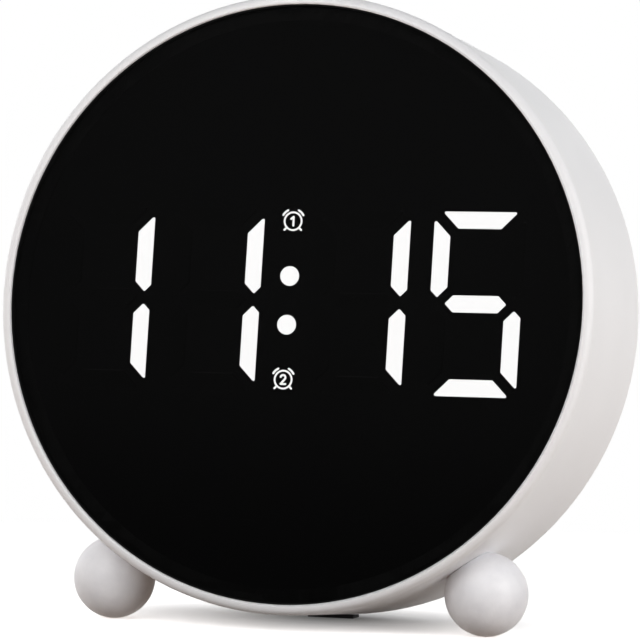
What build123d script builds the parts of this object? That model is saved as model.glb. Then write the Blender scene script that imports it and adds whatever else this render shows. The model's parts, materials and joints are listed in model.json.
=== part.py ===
from build123d import *
import os
from math import asin, atan2, ceil, cos, degrees, hypot, pi, radians, sin, sqrt, tan

os.makedirs("parts", exist_ok=True)

# A round alarm clock. Every piece is drawn lying in the drum's own frame: X to the right, Y along
# the drum's axis from the front edge backwards, Z up the face, with the face's centre at 0, 0.
# At the end each piece is leaned back and stood on the two balls and the rear pad.
# All sizes are in millimetres and degrees.

# Drum shell
drum_radius = 75.0
drum_depth = 49.0
drum_wall = 2.5
front_wall = 2.0
lip_outer_round = 1.9
lip_inner_round = 0.5
rear_edge_round = 1.2

# Front lens and the black film behind it
lens_recess = 0.8
lens_thickness = 2.0
lens_edge = 0.2
gasket_wall = 0.4
gasket_gap = 0.05
gasket_base = 0.3
gasket_width = 3.6
gasket_setback = 0.1
mask_thickness = 0.4
mask_gap = 0.2

# Seven-segment display
digit_height = 44.0
digit_width = 22.4
digit_slant = 1.2
digit_pitch = 28.35
colon_space = 37.0
display_x = -1.2
display_z = 0.75
stroke = 4.0
joint_gap = 2.7
middle_gap = 3.0
tip_inset = 1.6
bar_inset = 3.65
segment_round = 0.35
colon_radius = 2.35
colon_rise = 0.134 * digit_height
icon_rise = 0.436 * digit_height
icon_lead = 0.1
icon_gap = 0.02
icon_line = 0.4
icon_pen = 0.46
icon_dial = 2.16
icon_bells = 2.95
icon_foot = 3.0
icon_bell_angle = 60.0
icon_bell_sweep = 33.0
icon_numeral = 1.05
diffuser_depth = 3.5
diffuser_lead = 0.15
window_gap = 0.05
well_gap = 0.2
well_wall = 2.0
baffle_depth = 7.2
baffle_gap = 0.1
icon_well_radius = 3.8

# Display board
board_thickness = 1.6
display_board_margin = 4.0
display_post_radius = 2.6
display_post_inset = 12.0
display_led = (3.5, 1.4, 2.8)
driver_chip = (18.0, 2.3, 7.5)

# Rear cover
cover_recess = 1.0
cover_thickness = 2.5
cover_gap = 0.3
cover_post_radius = 3.6
cover_boss_depth = 3.0
cover_floor = 2.5

# Night-light ring in the rear cover
light_flange = 2.4
light_ring_width = 9.0
light_depth = 9.0
light_wall = 1.8
light_floor = 2.0
light_ledge = 1.0
light_ledge_depth = 2.2
light_gap = 0.15
light_dome = 0.6
light_board_thickness = 1.2
light_board_width = 5.8
light_led_count = 16
light_led = (3.5, 1.4, 2.8)

# Speaker behind its grille, in the space between the buttons and the night-light ring
speaker_below = 4.2
speaker_above = 8.2
speaker_flange = 1.0
speaker_basket_depth = 5.7
speaker_basket_share = 0.567
speaker_magnet_share = 0.5
speaker_magnet_depth = 4.0
speaker_gap = 0.15
speaker_clamp_count = 3
grille_share = 0.75
grille_pitch = 3.4
grille_hole_radius = 1.0

# Rear buttons and their switches
button_names = ["time_set", "alarm_one", "alarm_two", "down", "up", "light"]
button_space = 2.2
button_z = 4.0
button_gap = 0.3
button_proud = 1.2
button_flange = 0.8
button_flange_depth = 1.0
button_nub_radius = 2.0
button_travel = 0.6
button_round = 0.6
switch_size = 6.0
switch_height = 2.6
plunger_radius = 1.65
plunger_gap = 0.1
plunger_rise = 1.0
plunger_length = 1.8

# Control board
board_to_cover = 5.2
control_board_half_height = 7.4
control_post_radius = 2.3
control_post_gap = 0.4
socket_to_post = 7.5
board_screw_bite = 3.2
chip_size = (10.0, 1.6, 10.0)
capacitor_radius = 2.5
capacitor_height = 7.0
capacitor_shares = (0.22, 0.62)

# Power inlet: a USB-C socket
socket_inset = 11.2
socket_width = 3.3
socket_height = 9.0
socket_wall = 0.33
socket_cavity_depth = 6.2
socket_hole_gap = 0.3
tongue_width = 0.7
tongue_height = 6.7
tongue_depth = 4.6

# Battery bay for three AAA cells and its hinged door
cell_radius = 5.25
cell_length = 44.5
cell_nub_radius = 1.9
cell_nub_length = 1.0
cell_count = 3
cell_pitch = 11.2
cell_gap = 0.2
spring_length = 8.5
spring_plate_radius = 3.6
spring_cell_radius = 2.2
spring_wire = 0.8
contact_thickness = 0.4
contact_width = 8.0
bay_wall = 1.6
bay_top = -6.8
door_thickness = 2.4
door_gap = 0.3
door_ledge = 2.0
door_rib = 1.0
door_rib_depth = 1.5
door_frame_wall = 2.0
door_frame_depth = 4.5
hinge_pin_radius = 0.65
hinge_pin_clearance = 0.06
hinge_pin_length = 1.2

# Snooze bar on top
snooze_length = 33.6
snooze_width = 11.6
snooze_y = 26.0
snooze_proud = 1.2
snooze_travel = 0.8
snooze_flange = 0.9
snooze_flange_depth = 1.2
snooze_nub_depth = 1.2
snooze_post_radius = 2.4
snooze_board_width = 9.0
snooze_screw_bite = 1.8
snooze_pilot_depth = 4.0

# Feet
ball_radius = 10.1
ball_sink = 2.1
ball_angle = 35.1
ball_setback = 16.0
foot_boss_radius = 4.0
foot_boss_height = 1.6
pad_thickness = 0.5
pad_length = 12.0
pad_width = 5.0
pad_inset = 0.8
seat_gap = 0.05

# Screws: plain shanks, each in a pilot hole of its own size plus a clearance
screw_small = 1.1
screw_medium = 1.45
head_ratio = 2.0
head_height_ratio = 1.4
cover_screw_length = 12.0
foot_screw_length = 12.0
pilot_clearance = 0.05
hole_clearance = 0.25

# Wires and ribbon
wire_radius = 0.6
wire_gap = 0.05
wire_spread = 0.9
ribbon_width = 12.7
ribbon_thickness = 0.8
header_size = (16.0, 4.0, 4.0)
header_x = 8.0

# Stations along the drum's axis
lens_front = lens_recess
lens_back = lens_front + lens_thickness
mask_front = lens_back + gasket_base
mask_back = mask_front + mask_thickness
wall_back = mask_back + front_wall
baffle_front = mask_back + baffle_gap
display_board_front = baffle_front + baffle_depth + baffle_gap
display_board_back = display_board_front + board_thickness
cover_back = drum_depth - cover_recess
cover_front = cover_back - cover_thickness
control_board_back = cover_front - board_to_cover
control_board_front = control_board_back - board_thickness
cover_screw_seat = cover_front - cover_boss_depth + cover_floor
cover_pilot_front = cover_screw_seat - cover_screw_length - 1.5

# Radii that follow from the drum
inner_radius = drum_radius - drum_wall
lens_radius = inner_radius - gasket_wall - 2 * gasket_gap
cover_radius = inner_radius - cover_gap
light_outer = cover_radius - light_flange - light_wall
light_inner = light_outer - light_ring_width
island_radius = light_inner - light_wall
cover_post_centre = island_radius - cover_post_radius - cover_gap
socket_x = island_radius - socket_inset
control_post_x = socket_x - socket_to_post
button_row = 2 * (control_post_x - control_post_radius - control_post_gap - button_flange + button_space)
button_pitch = button_row / len(button_names)
button_radius = button_pitch / 2 - button_space
speaker_bottom = button_z + button_radius + button_flange + speaker_below
speaker_radius = (island_radius - speaker_above - speaker_bottom) / 2
speaker_z = speaker_bottom + speaker_radius
speaker_basket_radius = speaker_basket_share * speaker_radius
speaker_magnet_radius = speaker_magnet_share * speaker_radius
grille_radius = grille_share * speaker_radius

# Display spans
digit_centres = [
    display_x - colon_space / 2 - digit_pitch,
    display_x - colon_space / 2,
    display_x + colon_space / 2,
    display_x + colon_space / 2 + digit_pitch,
]
display_half_height = digit_height / 2
slant_reach = display_half_height * tan(radians(digit_slant))
display_half_width = colon_space / 2 + digit_pitch + digit_width / 2 + slant_reach
baffle_half_width = display_half_width + well_wall
baffle_half_height = display_half_height + well_wall
window_half_width = baffle_half_width + cover_gap
window_half_height = baffle_half_height + cover_gap
display_board_half_width = window_half_width - display_board_margin / 2
display_board_half_height = window_half_height + 2 * display_post_radius + display_board_margin / 4
lit_segments_of = {0: "bc", 1: "bc", 2: "bc", 3: "acdfg"}


# Small helpers, all in the drum's frame

def group(shapes):
    """One piece made of several separate solids."""
    return Compound([solid for shape in shapes for solid in shape.solids()])


def disc(radius, y0, y1, x=0.0, z=0.0):
    """A cylinder along the drum's axis, from y0 to y1."""
    return Pos(x, (y0 + y1) / 2, z) * Rot(90, 0, 0) * Cylinder(radius, abs(y1 - y0))


def ring(outer, inner, y0, y1, x=0.0, z=0.0):
    return disc(outer, y0, y1, x, z) - disc(inner, y0 - 1, y1 + 1, x, z)


def block(x0, x1, y0, y1, z0, z1):
    return Pos((x0 + x1) / 2, (y0 + y1) / 2, (z0 + z1) / 2) * Box(x1 - x0, y1 - y0, z1 - z0)


def block_at(x, y0, y1, z, width, height):
    return block(x - width / 2, x + width / 2, y0, y1, z - height / 2, z + height / 2)


def face_plane(y):
    """A plane parallel to the face at depth y, whose own x and y are the drum's X and Z."""
    return Plane(origin=(0, y, 0), x_dir=(1, 0, 0), z_dir=(0, -1, 0))


def raised(sketch, y0, y1):
    """A flat outline drawn in X and Z, made solid from y0 back to y1."""
    return extrude(face_plane(y0) * sketch, amount=-(y1 - y0))


def turned(points, x=0.0, z=0.0):
    """A profile of (radius, y) points turned about an axis parallel to the drum's."""
    outline = make_face(Polyline(*points, close=True))
    return Pos(x, 0, z) * revolve(outline, Axis.Y)


def screw(shank_radius, length):
    """A pan-head screw with its head above z = 0 and its shank below."""
    head_radius = head_ratio * shank_radius
    head_height = head_height_ratio * shank_radius
    head = Pos(0, 0, head_height / 2) * Cylinder(head_radius, head_height)
    head = fillet(head.edges().group_by(Axis.Z)[-1], head_height * 0.35)
    slot = Pos(0, 0, head_height) * Box(head_radius * 1.2, shank_radius * 0.3, head_height * 0.7)
    cross = Pos(0, 0, head_height) * Box(shank_radius * 0.3, head_radius * 1.2, head_height * 0.7)
    return head + Pos(0, 0, -length / 2) * Cylinder(shank_radius, length) - slot - cross


def screw_from_back(shank_radius, length, x, y, z):
    """A screw along the drum's axis with its head towards the rear."""
    return Pos(x, y, z) * Rot(-90, 0, 0) * screw(shank_radius, length)


def screw_from_front(shank_radius, length, x, y, z):
    return Pos(x, y, z) * Rot(90, 0, 0) * screw(shank_radius, length)


def tube(points, radius):
    """A wire through the points, with each bend as round as its two runs allow."""
    corners = [Vector(*p) for p in points]
    bends = []
    for before, here, after in zip(corners, corners[1:], corners[2:]):
        turn = radians((here - before).get_angle(after - here))
        shorter = min((here - before).length, (after - here).length)
        bends.append(0.45 * shorter / tan(turn / 2))
    path = FilletPolyline(*corners, radius=bends) if bends else Line(*corners)
    return sweep((path ^ 0) * Circle(radius), path=path)


# Segment outlines

def grown(points, amount):
    """A convex outline, counter-clockwise, with every side moved outwards."""
    count = len(points)
    sides = []
    for i in range(count):
        (x0, z0), (x1, z1) = points[i], points[(i + 1) % count]
        length = hypot(x1 - x0, z1 - z0)
        nx, nz = (z1 - z0) / length, -(x1 - x0) / length
        sides.append((nx, nz, nx * x0 + nz * z0 + amount))
    result = []
    for i in range(count):
        (a, b, c), (d, e, f) = sides[i - 1], sides[i]
        det = a * e - b * d
        result.append(((c * e - b * f) / det, (a * f - c * d) / det))
    return result


def segment_points(letter):
    """The outline of one segment about the digit's centre, before the slant."""
    w, h = digit_width / 2, digit_height / 2
    joint = joint_gap / sqrt(2)
    if letter in "ad":
        points = [
            (-w + joint + stroke, h - stroke),
            (w - joint - stroke, h - stroke),
            (w - joint, h),
            (-w + joint, h),
        ]
    elif letter == "g":
        tip = w - bar_inset
        points = [
            (-tip, 0),
            (-tip + stroke / 2, -stroke / 2),
            (tip - stroke / 2, -stroke / 2),
            (tip, 0),
            (tip - stroke / 2, stroke / 2),
            (-tip + stroke / 2, stroke / 2),
        ]
    else:
        points = [
            (w - tip_inset, middle_gap / 2),
            (w, middle_gap / 2 + tip_inset),
            (w, h - joint),
            (w - stroke, h - joint - stroke),
            (w - stroke, middle_gap / 2 + stroke - tip_inset),
        ]
    if letter in "cde":
        points = [(x, -z) for x, z in reversed(points)]
    if letter in "ef":
        points = [(-x, z) for x, z in reversed(points)]
    return points


def segment_outline(digit, letter, growth=0.0):
    shear = tan(radians(digit_slant))
    points = grown(segment_points(letter), growth)
    placed = [(digit_centres[digit] + x + z * shear, display_z + z) for x, z in points]
    outline = make_face(Polyline(*placed, close=True))
    return fillet(outline.vertices(), segment_round)


def segment_middle(digit, letter):
    points = segment_points(letter)
    x = sum(p[0] for p in points) / len(points)
    z = sum(p[1] for p in points) / len(points)
    return digit_centres[digit] + x + z * tan(radians(digit_slant)), display_z + z


def slanted_x(rise):
    return display_x + rise * tan(radians(digit_slant))


all_segments = [(digit, letter) for digit in range(4) for letter in "abcdefg"]
lit = [pair for pair in all_segments if pair[1] in lit_segments_of[pair[0]]]
unlit = [pair for pair in all_segments if pair not in lit]
colon_places = [(slanted_x(rise), display_z + rise) for rise in (colon_rise, -colon_rise)]
icon_places = [(slanted_x(rise), display_z + rise) for rise in (icon_rise, -icon_rise)]


# Foot frames: local Z points out of the drum along each ball's own radius

def foot_frame(side):
    return Pos(0, ball_setback, 0) * Rot(0, side * (180 - ball_angle), 0)


corners = [(sx, sz) for sx in (-1, 1) for sz in (-1, 1)]
cover_post_reach = cover_post_centre * sqrt(0.5)
cover_post_places = [(sx * cover_post_reach, sz * cover_post_reach) for sx, sz in corners]
display_post_x = display_board_half_width - display_post_inset
display_post_z = window_half_height + display_post_radius + cover_gap
display_post_places = [
    (display_x + sx * display_post_x, display_z + sz * display_post_z)
    for sx, sz in corners
]
snooze_post_x = snooze_length / 2 + snooze_flange + snooze_post_radius + 4 * cover_gap
snooze_nub_bottom = inner_radius - cover_gap - snooze_flange_depth - snooze_nub_depth
snooze_board_top = snooze_nub_bottom - plunger_rise - switch_height
snooze_board_bottom = snooze_board_top - board_thickness


def pill(length, width, z0, z1):
    """An upright pill-shaped prism over the snooze bar's place."""
    outline = Plane.XY.offset(z0) * (Pos(0, snooze_y) * SlotOverall(length, width))
    return extrude(outline, amount=z1 - z0)


# Pieces

def housing():
    shell = disc(drum_radius, 0, drum_depth)
    shell = fillet(shell.edges().group_by(Axis.Y)[0], lip_outer_round)
    shell = fillet(shell.edges().group_by(Axis.Y)[-1], rear_edge_round)
    front_bore = disc(inner_radius, -1, mask_back)
    shell -= front_bore
    shell -= disc(inner_radius, wall_back, drum_depth + 1)
    lip_edge = shell.edges().filter_by(GeomType.CIRCLE).group_by(Axis.Y)[0]
    shell = fillet(lip_edge, lip_inner_round)
    window_size = (2 * window_half_width, 2 * window_half_height)
    shell -= block_at(display_x, mask_back - 1, wall_back + 1, display_z, *window_size)
    for x, z in cover_post_places:
        shell += disc(cover_post_radius, wall_back, cover_front - cover_boss_depth, x, z)
    for x, z in display_post_places:
        shell += disc(display_post_radius, wall_back, display_board_front, x, z)
    for side in (-1, 1):
        boss_height = foot_boss_height + drum_wall / 2
        boss_middle = inner_radius - foot_boss_height + boss_height / 2
        boss = Pos(0, 0, boss_middle) * Cylinder(foot_boss_radius, boss_height)
        boss &= Rot(90, 0, 0) * Cylinder(inner_radius + drum_wall / 2, 4 * foot_boss_radius)
        shell += foot_frame(side) * boss
        post = Pos(side * snooze_post_x, snooze_y, (snooze_board_top + drum_radius) / 2) * Cylinder(
            snooze_post_radius, drum_radius - snooze_board_top
        )
        shell += post & disc(inner_radius + drum_wall / 2, 0, drum_depth)
    slot_length = snooze_length + 2 * button_gap
    slot_width = snooze_width + 2 * button_gap
    shell -= pill(slot_length, slot_width, snooze_board_top, drum_radius + 2 * snooze_proud)
    for x, z in cover_post_places:
        shell -= disc(screw_medium + pilot_clearance, cover_pilot_front, cover_front, x, z)
    for x, z in display_post_places:
        shell -= disc(screw_small + pilot_clearance, wall_back, display_board_front + 1, x, z)
    for side in (-1, 1):
        hole = Pos(0, 0, drum_radius - drum_wall / 2) * Cylinder(screw_medium + hole_clearance, 4 * drum_wall)
        shell -= foot_frame(side) * hole
        pilot = Cylinder(screw_small + pilot_clearance, 2 * snooze_pilot_depth)
        shell -= Pos(side * snooze_post_x, snooze_y, snooze_board_top) * pilot
    return shell


def front_lens():
    lens = disc(lens_radius, lens_front, lens_back)
    return chamfer(lens.edges().group_by(Axis.Y)[0], lens_edge)


def lens_gasket():
    """A black rubber angle ring that holds the lens by its edge and its back."""
    outer = inner_radius - gasket_gap
    sleeve = ring(outer, outer - gasket_wall, lens_front + gasket_setback, mask_front)
    return sleeve + ring(outer, outer - gasket_width, lens_back, mask_front)


def display_mask():
    film = disc(inner_radius - mask_gap, mask_front, mask_back)
    front, back = mask_front - 1, mask_back + 1
    windows = [raised(segment_outline(*pair, window_gap), front, back) for pair in all_segments]
    windows += [disc(colon_radius + window_gap, front, back, x, z) for x, z in colon_places]
    signs = [alarm_icon(number, icon_places[number - 1], icon_gap) for number in (1, 2)]
    return film - windows - [raised(sign, front, back) for sign in signs]


def segments(pairs):
    front = mask_front - diffuser_lead
    return group([raised(segment_outline(d, s), front, front + diffuser_depth) for d, s in pairs])


def colon_dots():
    front = mask_front - diffuser_lead
    return group([disc(colon_radius, front, front + diffuser_depth, x, z) for x, z in colon_places])


def pen(x0, z0, x1, z1, width):
    """A straight pen stroke with round ends."""
    length = hypot(x1 - x0, z1 - z0)
    middle = Pos((x0 + x1) / 2, (z0 + z1) / 2) * Rot(0, 0, degrees(atan2(z1 - z0, x1 - x0)))
    return middle * SlotCenterToCenter(length, width)


def bow(x, z, radius, start, sweep_angle, width):
    """A curved pen stroke with round ends."""
    return SlotArc(CenterArc((x, z), radius, start, sweep_angle), width)


def alarm_icon(number, place, growth=0.0):
    """A line drawing of a bell alarm clock around a plain numeral."""
    half_line = icon_line / 2 + growth
    width = icon_pen + 2 * growth
    top = icon_numeral
    sketch = Circle(icon_dial + half_line) - Circle(icon_dial - half_line)
    near, far = icon_dial * sqrt(0.5), icon_foot * sqrt(0.5)
    for side in (-1, 1):
        sketch += bow(0, 0, icon_bells, 90 - side * icon_bell_angle, side * icon_bell_sweep, width)
        sketch += pen(side * near, -near, side * far, -far, width)
    if number == 1:
        sketch += pen(0.1, top, 0.1, -top, width) + pen(0.1, top, -0.5, top - 0.5, width)
    else:
        sketch += bow(-0.05, top - 0.55, 0.6, -35, 200, width) + pen(0.44, top - 0.9, -0.6, -top, width)
        sketch += pen(-0.6, -top, 0.6, -top, width)
    return Pos(*place) * sketch


def alarm_sign(number):
    """The moulded light guide that fills an alarm sign's window in the film."""
    return raised(alarm_icon(number, icon_places[number - 1]), mask_front - icon_lead, mask_back)


def light_baffle():
    back = baffle_front + baffle_depth
    body = block_at(display_x, baffle_front, back, display_z, 2 * baffle_half_width, 2 * baffle_half_height)
    body = fillet(body.edges().filter_by(Axis.Y), well_wall / 2)
    wells = [raised(segment_outline(d, s, well_gap), baffle_front - 1, back + 1) for d, s in all_segments]
    wells += [disc(colon_radius + well_gap, baffle_front - 1, back + 1, x, z) for x, z in colon_places]
    wells += [disc(icon_well_radius, baffle_front - 1, back + 1, x, z) for x, z in icon_places]
    return body - wells


def display_board():
    board = block_at(
        display_x,
        display_board_front,
        display_board_back,
        display_z,
        2 * display_board_half_width,
        2 * display_board_half_height,
    )
    board = fillet(board.edges().filter_by(Axis.Y), display_board_margin)
    for x, z in display_post_places:
        board -= disc(screw_small + hole_clearance, display_board_front - 1, display_board_back + 1, x, z)
    return board


def display_leds():
    width, height, depth = display_led
    lamps = []
    for digit, letter in all_segments:
        x, z = segment_middle(digit, letter)
        flat = letter in "adg"
        across, up = (width, depth) if flat else (depth, width)
        lamps.append(block_at(x, display_board_front - height, display_board_front, z, across, up))
    for x, z in colon_places + icon_places:
        lamps.append(block_at(x, display_board_front - height / 2, display_board_front, z, depth, depth / 2))
    return group(lamps)


def display_driver():
    width, height, depth = driver_chip
    body = block_at(-2 * width, display_board_back, display_board_back + height, display_z, width, depth)
    return chamfer(body.edges().group_by(Axis.Y)[-1], height / 6)


def display_screws():
    length = board_thickness + 4
    seat = display_board_back
    return group([screw_from_back(screw_small, length, x, seat, z) for x, z in display_post_places])


def ribbon_headers():
    width, height, depth = header_size
    return group(
        [
            block_at(header_x, display_board_back, display_board_back + height, button_z, width, depth),
            block_at(header_x, control_board_front - height, control_board_front, button_z, width, depth),
        ]
    )


def ribbon_cable():
    start = display_board_back + header_size[1]
    end = control_board_front - header_size[1]
    reach = end - start
    bow = 0.25 * reach
    route = [
        (header_x, start, button_z),
        (header_x, start + 0.2 * reach, button_z),
        (header_x, start + 0.5 * reach, button_z + bow),
        (header_x, start + 0.8 * reach, button_z),
        (header_x, end, button_z),
    ]
    corners = [Vector(*p) for p in route]
    bends = []
    for before, here, after in zip(corners, corners[1:], corners[2:]):
        turn = radians((here - before).get_angle(after - here))
        shorter = min((here - before).length, (after - here).length)
        bends.append(0.45 * shorter / tan(turn / 2))
    path = FilletPolyline(*corners, radius=bends)
    section = face_plane(start) * (Pos(header_x, button_z) * Rectangle(ribbon_width, ribbon_thickness))
    return sweep(section, path=path)


def button_x(index):
    return (index - (len(button_names) - 1) / 2) * button_pitch


control_board_left = -control_post_x - socket_to_post
control_board_right = socket_x + 0.8 * socket_to_post


def control_board():
    board = block(
        control_board_left,
        control_board_right,
        control_board_front,
        control_board_back,
        button_z - control_board_half_height,
        button_z + control_board_half_height,
    )
    board = fillet(board.edges().filter_by(Axis.Y), 1.5)
    bore = screw_small + hole_clearance
    for side in (-1, 1):
        board -= disc(bore, control_board_front - 1, control_board_back + 1, side * control_post_x, button_z)
    return board


def controller_chip():
    width, height, depth = chip_size
    body = block_at(-1.4 * width, control_board_front - height, control_board_front, button_z, width, depth)
    return chamfer(body.edges().group_by(Axis.Y)[0], height / 6)


def board_capacitors():
    cans = []
    free_from = header_x + header_size[0] / 2
    for share in capacitor_shares:
        x = free_from + share * (control_post_x - free_from)
        can = disc(capacitor_radius, control_board_front - capacitor_height, control_board_front, x, button_z)
        cans.append(fillet(can.edges().group_by(Axis.Y)[0], 0.5))
    return group(cans)


def control_board_screws():
    length = board_thickness + board_screw_bite
    places = [side * control_post_x for side in (-1, 1)]
    return group([screw_from_front(screw_small, length, x, control_board_front, button_z) for x in places])


def switch_body():
    """A tact switch on z = 0 with its bore open at the top."""
    body = Pos(0, 0, switch_height / 2) * Box(switch_size, switch_size, switch_height)
    bore_depth = plunger_length - plunger_rise + max(button_travel, snooze_travel) + plunger_gap
    bore = Cylinder(plunger_radius + plunger_gap, 2 * bore_depth)
    return body - Pos(0, 0, switch_height) * bore


def plunger():
    """The switch's own plunger, in the switch body's frame."""
    top = switch_height + plunger_rise
    return Pos(0, 0, top - plunger_length / 2) * Cylinder(plunger_radius, plunger_length)


def on_control_board(shape, x):
    return Pos(x, control_board_back, button_z) * Rot(-90, 0, 0) * shape


def button_switches():
    return group([on_control_board(switch_body(), button_x(i)) for i in range(len(button_names))])


def rear_button(index):
    x = button_x(index)
    top = cover_back + button_proud
    flange_back = cover_front - button_gap
    flange_front = flange_back - button_flange_depth
    cap = disc(button_radius, flange_front, top, x, button_z)
    cap = fillet(cap.edges().group_by(Axis.Y)[-1], button_round)
    cap += disc(button_radius + button_flange, flange_front, flange_back, x, button_z)
    nub_front = control_board_back + switch_height + plunger_rise
    return cap + disc(button_nub_radius, nub_front, flange_front + 0.5, x, button_z)


def usb_socket():
    front, back = control_board_back, cover_back - 0.1
    outline = Pos(socket_x, button_z) * RectangleRounded(socket_width, socket_height, socket_width * 0.45)
    inner_width = socket_width - 2 * socket_wall
    inner_height = socket_height - 2 * socket_wall
    mouth = Pos(socket_x, button_z) * RectangleRounded(inner_width, inner_height, inner_width * 0.45)
    return raised(outline, front, back) - raised(mouth, back - socket_cavity_depth, back + 1)


def usb_tongue():
    back = cover_back - 0.1 - socket_cavity_depth
    return block_at(socket_x, back, back + tongue_depth, button_z, tongue_width, tongue_height)


# Battery bay sizes
bay_half_width = (cell_length + spring_length) / 2 + contact_thickness + 0.1
bay_bottom = bay_top - (cell_count - 1) * cell_pitch - 2 * cell_radius - 4 * cell_gap
bay_middle = (bay_top + bay_bottom) / 2
door_front = cover_back - door_thickness
cell_y = door_front - door_gap - cell_radius
bay_floor = cell_y - cell_radius - cell_gap
recess_half_width = bay_half_width + door_ledge
recess_top = bay_top + 1.3
hinge_radius = door_thickness / 2
hinge_z = bay_bottom
hinge_y = cover_back - hinge_radius
recess_bottom = hinge_z - hinge_radius - door_gap
cell_places = [bay_middle + (i - (cell_count - 1) / 2) * cell_pitch for i in range(cell_count)]
cell_turns = [1 if i % 2 == 0 else -1 for i in range(cell_count)]
tail_z = bay_top + bay_wall + 0.8
wire_y = control_board_front - wire_gap - wire_radius


def rear_cover():
    cover = disc(cover_radius, cover_front, cover_back)
    # night-light channel
    channel_floor = cover_back - light_depth
    cover += ring(light_outer + light_wall, light_inner - light_wall, channel_floor - light_floor, cover_back)
    cover -= ring(light_outer - light_ledge, light_inner + light_ledge, channel_floor, cover_back + 1)
    cover -= ring(light_outer, light_inner, cover_back - light_ledge_depth, cover_back + 1)
    # screw bosses
    for x, z in cover_post_places:
        cover += disc(cover_post_radius + 1, cover_front - cover_boss_depth, cover_front, x, z)
    # door frame and battery bay
    frame_half = recess_half_width + door_frame_wall
    cover += block(
        -frame_half,
        frame_half,
        cover_back - door_frame_depth,
        cover_back,
        recess_bottom - door_frame_wall,
        recess_top + door_frame_wall,
    )
    cover += block(
        -bay_half_width - bay_wall,
        bay_half_width + bay_wall,
        bay_floor - bay_wall,
        cover_front,
        bay_bottom - bay_wall,
        bay_top + bay_wall,
    )
    # control board posts, speaker rim and speaker bosses
    for side in (-1, 1):
        cover += disc(control_post_radius, control_board_back, cover_front, side * control_post_x, button_z)
    rim = disc(speaker_radius + 1.8, cover_front - clamp_boss_depth, cover_front, 0, speaker_z)
    for x, z in speaker_clamps:
        rim += disc(clamp_boss_radius, cover_front - clamp_boss_depth, cover_front, x, z)
    cover += rim - disc(speaker_radius + speaker_gap, basket_front, cover_front, 0, speaker_z)
    # cuts
    cover -= block(-bay_half_width, bay_half_width, bay_floor, cover_back + 1, bay_bottom, bay_top)
    door_inner = door_front - door_gap
    recess_span = (-recess_half_width, recess_half_width)
    cover -= block(*recess_span, door_inner, cover_back + 1, recess_bottom, recess_top)
    bore_reach = recess_half_width + hinge_pin_length + door_gap
    bore = Cylinder(hinge_pin_radius + hinge_pin_clearance, 2 * bore_reach)
    cover -= Pos(0, hinge_y, hinge_z) * Rot(0, 90, 0) * bore
    for side in (-1, 1):
        slot_x = side * (bay_half_width - contact_thickness)
        slot_front = wire_y - wire_radius - button_gap
        slot_back = cell_y + button_gap
        slot_z = bay_top + bay_wall / 2
        cover -= block_at(slot_x, slot_front, slot_back, slot_z, 3 * contact_thickness, 2 * bay_wall)
        pilot = disc(screw_small + pilot_clearance, control_board_back - 1, cover_front - 0.5)
        cover -= Pos(side * control_post_x, 0, button_z) * pilot
    for x, z in cover_post_places:
        cover -= disc(cover_post_radius - 0.4, cover_screw_seat, cover_back + 1, x, z)
        cover -= disc(screw_medium + hole_clearance, cover_front - cover_boss_depth - 1, cover_back, x, z)
    for i in range(len(button_names)):
        cover -= disc(button_radius + button_gap, cover_front - 1, cover_back + 1, button_x(i), button_z)
    hole = Pos(socket_x, button_z) * RectangleRounded(
        socket_width + 2 * socket_hole_gap, socket_height + 2 * socket_hole_gap, socket_width * 0.5
    )
    cover -= raised(hole, cover_front - 1, cover_back + 1)
    cover -= [disc(grille_hole_radius, cover_front - 1, cover_back + 1, x, z) for x, z in grille_places]
    for x, z in speaker_clamps:
        cover -= disc(screw_small + pilot_clearance, cover_front - 5, cover_front + 1.5, x, z)
    # slot for the night-light wires
    cover -= block(
        -light_inner - light_ledge - 1,
        -light_inner + light_wall + 1,
        control_board_back,
        control_board_back + 3 * wire_radius,
        button_z - 2 * wire_spread,
        button_z + 2 * wire_spread,
    )
    return cover


def rear_cover_screws():
    length, seat = cover_screw_length, cover_screw_seat
    return group([screw_from_back(screw_medium, length, x, seat, z) for x, z in cover_post_places])


def night_light_diffuser():
    outer = light_outer - light_gap
    inner = light_inner + light_gap
    front = cover_back - light_ledge_depth
    middle = (outer + inner) / 2
    profile = make_face(
        Polyline((inner, cover_back), (inner, front), (outer, front), (outer, cover_back))
        + ThreePointArc((outer, cover_back), (middle, cover_back + light_dome), (inner, cover_back))
    )
    return revolve(profile, Axis.Y)


light_middle = (light_outer + light_inner) / 2
light_board_front = cover_back - light_depth
light_board_back = light_board_front + light_board_thickness


def night_light_board():
    half = light_board_width / 2
    return ring(light_middle + half, light_middle - half, light_board_front, light_board_back)


def night_light_leds():
    width, height, depth = light_led
    lamps = []
    for i in range(light_led_count):
        lamp = block_at(light_middle, light_board_back, light_board_back + height, 0, depth, width)
        lamps.append(Rot(0, 360 / light_led_count * (i + 0.5), 0) * lamp)
    return group(lamps)


# Speaker
speaker_back = cover_front - button_gap
speaker_seat = speaker_back - speaker_flange
basket_front = speaker_seat - speaker_basket_depth
clamp_boss_depth = cover_front - speaker_seat
clamp_boss_radius = 2.4
clamp_circle = speaker_radius + speaker_gap + 0.6 + screw_small + pilot_clearance
clamp_angles = [radians(90 + 360 / speaker_clamp_count * i) for i in range(speaker_clamp_count)]
speaker_clamps = [(clamp_circle * cos(turn), speaker_z + clamp_circle * sin(turn)) for turn in clamp_angles]
grille_rows = ceil(grille_radius / grille_pitch)
grille_places = [
    (grille_pitch * (i + 0.5 * (j % 2)), speaker_z + grille_pitch * sqrt(0.75) * j)
    for j in range(-grille_rows - 1, grille_rows + 2)
    for i in range(-grille_rows - 1, grille_rows + 1)
    if hypot(grille_pitch * (i + 0.5 * (j % 2)), grille_pitch * sqrt(0.75) * j) <= grille_radius
]


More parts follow.
